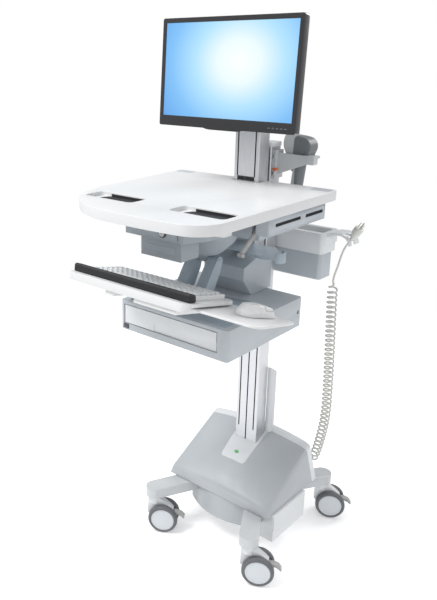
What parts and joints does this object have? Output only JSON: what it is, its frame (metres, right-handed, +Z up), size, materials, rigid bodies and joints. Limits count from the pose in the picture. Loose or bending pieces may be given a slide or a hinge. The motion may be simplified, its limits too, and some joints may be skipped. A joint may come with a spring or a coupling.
{
  "type": "medication cart",
  "caption": "Wheeled hospital cart with a height-adjustable worktop, display, keyboard tray, medication drawer, scanner and coiled mains cord.",
  "frame": {"origin": "on the floor under the middle of the cart's bounding box, measured without the free mains cord and its plug", "axes": "+Z up, the front of the cart faces -Y, +X is the cart's right as seen by the user standing in front"},
  "size_m": [0.681, 0.9458, 1.7052],
  "materials": {
    "grey_cover": "satin",
    "white_cover": "satin",
    "light_metal": "satin powder coat",
    "anodised": "satin anodised",
    "dark_metal": "satin",
    "steel": "ground",
    "worktop_white": "smooth",
    "blue_grey": "satin",
    "wheel_grey": "smooth",
    "caster_white": "smooth",
    "pedal_grey": "satin",
    "cord_grey": "smooth",
    "brass": "polished",
    "black": "fine grain",
    "black_gloss": "polished",
    "screen": "smooth",
    "keys_white": "satin",
    "dark_plastic": "satin"
  },
  "bodies": {
    "base": {"base_frame": "light_metal", "base_hood": "grey_cover", "rear_cover": "white_cover", "battery_pack": "white_cover", "column": "anodised", "column_cap": "white_cover", "cable_duct": "white_cover", "lift_cylinder": "dark_metal", "cord_gland": "dark_plastic", "coil_cord": "cord_grey", "lead_cord": "cord_grey", "mains_plug": "cord_grey", "storage_bin": "grey_cover", "bin_rim": "white_cover", "scanner_mount": "light_metal"},
    "head": {"carriage": "dark_metal", "lift_rod": "steel", "mast": "anodised", "mast_cap": "white_cover", "worktop": "worktop_white", "head_housing": "blue_grey", "power_box": "blue_grey", "arm_shroud": "blue_grey", "side_rails": "grey_cover", "wing_plate": "blue_grey", "riser_box": "grey_cover", "drawer_housing": "grey_cover"},
    "lever": {"lift_lever": "light_metal"},
    "lock": {"lock_cylinder": "brass"},
    "drawer": {"drawer_tray": "white_cover", "drawer_front": "white_cover"},
    "latch": {"drawer_latch": "dark_plastic"},
    "arm": {"keyboard_arm": "blue_grey"},
    "tray": {"keyboard_tray": "worktop_white", "palm_rest": "black", "keyboard_case": "keys_white"},
    "keys": {"keyboard_keys": "keys_white"},
    "mouse_shelf": {"mouse_tray": "worktop_white"},
    "mouse": {"mouse_body": "caster_white"},
    "click_left": {"mouse_button_left": "caster_white"},
    "click_right": {"mouse_button_right": "caster_white"},
    "display_lift": {"display_slider": "anodised"},
    "display_tilt": {"tilt_bracket": "light_metal"},
    "display": {"vesa_plate": "light_metal", "monitor_shell": "black_gloss", "monitor_screen": "screen"},
    "scanner": {"scanner_body": "dark_plastic"},
    "trigger": {"scanner_trigger": "pedal_grey"},
    "caster_front_left": {"fork_front_left": "caster_white"},
    "rollers_front_left": {"wheels_front_left": "wheel_grey"},
    "brake_front_left": {"pedal_front_left": "pedal_grey"},
    "caster_front_right": {"fork_front_right": "caster_white"},
    "rollers_front_right": {"wheels_front_right": "wheel_grey"},
    "brake_front_right": {"pedal_front_right": "pedal_grey"},
    "caster_rear_left": {"fork_rear_left": "caster_white"},
    "rollers_rear_left": {"wheels_rear_left": "wheel_grey"},
    "brake_rear_left": {"pedal_rear_left": "pedal_grey"},
    "caster_rear_right": {"fork_rear_right": "caster_white"},
    "rollers_rear_right": {"wheels_rear_right": "wheel_grey"},
    "brake_rear_right": {"pedal_rear_right": "pedal_grey"}
  },
  "joints": [
    {"name": "head_lift", "type": "slide", "parent": "base", "child": "head", "axis": [0, 0, 1], "range_m": [-0.45, 0]},
    {"name": "lever_press", "type": "hinge", "parent": "head", "child": "lever", "pos_m": [0.1585, -0.136, 1.166], "axis": [1, 0, 0], "range_deg": [-8, 0], "stiffness_Nm_per_rad": 1.2, "springref_deg": 5.73},
    {"name": "lock_turn", "type": "hinge", "parent": "head", "child": "lock", "pos_m": [-0.0445, -0.283, 1.146], "axis": [0, -1, 0], "range_deg": [0, 90]},
    {"name": "drawer_slide", "type": "slide", "parent": "head", "child": "drawer", "axis": [0, -1, 0], "range_m": [0, 0.3]},
    {"name": "latch_press", "type": "slide", "parent": "head", "child": "latch", "axis": [0, 1, 0], "range_m": [0, 0.004], "stiffness_N_per_m": 300},
    {"name": "arm_swing", "type": "hinge", "parent": "head", "child": "arm", "pos_m": [-0.0485, -0.083, 1.036], "axis": [1, 0, 0], "range_deg": [-4, 12]},
    {"name": "tray_tilt", "type": "hinge", "parent": "arm", "child": "tray", "pos_m": [-0.0485, -0.288, 0.962], "axis": [1, 0, 0], "range_deg": [-4, 10]},
    {"name": "keys_press", "type": "slide", "parent": "tray", "child": "keys", "axis": [0, -0.2079, -0.9781], "range_m": [0, 0.0022], "stiffness_N_per_m": 900},
    {"name": "mouse_shelf_slide", "type": "slide", "parent": "tray", "child": "mouse_shelf", "axis": [-1, 0, 0], "range_m": [0, 0.04]},
    {"name": "mouse_slide", "type": "slide", "parent": "mouse_shelf", "child": "mouse", "axis": [0, -0.9781, 0.2079], "range_m": [0, 0.03]},
    {"name": "click_left_press", "type": "slide", "parent": "mouse", "child": "click_left", "axis": [0, -0.2079, -0.9781], "range_m": [0, 0.001], "stiffness_N_per_m": 300},
    {"name": "click_right_press", "type": "slide", "parent": "mouse", "child": "click_right", "axis": [0, -0.2079, -0.9781], "range_m": [0, 0.001], "stiffness_N_per_m": 300},
    {"name": "display_height", "type": "slide", "parent": "head", "child": "display_lift", "axis": [0, 0, 1], "range_m": [-0.075, 0]},
    {"name": "display_lean", "type": "hinge", "parent": "display_lift", "child": "display_tilt", "pos_m": [-0.0565, 0.089, 1.545], "axis": [1, 0, 0], "range_deg": [-17, 10]},
    {"name": "display_turn", "type": "hinge", "parent": "display_tilt", "child": "display", "pos_m": [-0.0565, 0.06787, 1.56213], "axis": [0, -0.9986, 0.0523], "range_deg": [0, 90]},
    {"name": "scanner_lift", "type": "slide", "parent": "base", "child": "scanner", "axis": [0, 0, 1], "range_m": [0, 0.12]},
    {"name": "trigger_pull", "type": "hinge", "parent": "scanner", "child": "trigger", "pos_m": [0.0255, 0.263, 1.292], "axis": [0, 1, 0], "range_deg": [-8, 0], "stiffness_Nm_per_rad": 0.3},
    {"name": "swivel_front_left", "type": "hinge", "parent": "base", "child": "caster_front_left", "pos_m": [-0.2515, -0.066, 0.1], "axis": [0, 0, 1], "continuous": true},
    {"name": "roll_front_left", "type": "hinge", "parent": "caster_front_left", "child": "rollers_front_left", "pos_m": [-0.22292, -0.0495, 0.051], "axis": [-0.5, 0.866, 0], "continuous": true},
    {"name": "brake_front_left_press", "type": "hinge", "parent": "caster_front_left", "child": "brake_front_left", "pos_m": [-0.19088, -0.031, 0.069], "axis": [-0.5, 0.866, 0], "range_deg": [0, 15]},
    {"name": "swivel_front_right", "type": "hinge", "parent": "base", "child": "caster_front_right", "pos_m": [0.1385, -0.066, 0.1], "axis": [0, 0, 1], "continuous": true},
    {"name": "roll_front_right", "type": "hinge", "parent": "caster_front_right", "child": "rollers_front_right", "pos_m": [0.16708, -0.0495, 0.051], "axis": [-0.5, 0.866, 0], "continuous": true},
    {"name": "brake_front_right_press", "type": "hinge", "parent": "caster_front_right", "child": "brake_front_right", "pos_m": [0.19912, -0.031, 0.069], "axis": [-0.5, 0.866, 0], "range_deg": [0, 15]},
    {"name": "swivel_rear_left", "type": "hinge", "parent": "base", "child": "caster_rear_left", "pos_m": [-0.2515, 0.403, 0.1], "axis": [0, 0, 1], "continuous": true},
    {"name": "roll_rear_left", "type": "hinge", "parent": "caster_rear_left", "child": "rollers_rear_left", "pos_m": [-0.22292, 0.4195, 0.051], "axis": [-0.5, 0.866, 0], "continuous": true},
    {"name": "brake_rear_left_press", "type": "hinge", "parent": "caster_rear_left", "child": "brake_rear_left", "pos_m": [-0.19088, 0.438, 0.069], "axis": [-0.5, 0.866, 0], "range_deg": [0, 15]},
    {"name": "swivel_rear_right", "type": "hinge", "parent": "base", "child": "caster_rear_right", "pos_m": [0.1385, 0.403, 0.1], "axis": [0, 0, 1], "continuous": true},
    {"name": "roll_rear_right", "type": "hinge", "parent": "caster_rear_right", "child": "rollers_rear_right", "pos_m": [0.16708, 0.4195, 0.051], "axis": [-0.5, 0.866, 0], "continuous": true},
    {"name": "brake_rear_right_press", "type": "hinge", "parent": "caster_rear_right", "child": "brake_rear_right", "pos_m": [0.19912, 0.438, 0.069], "axis": [-0.5, 0.866, 0], "range_deg": [0, 15]}
  ]
}
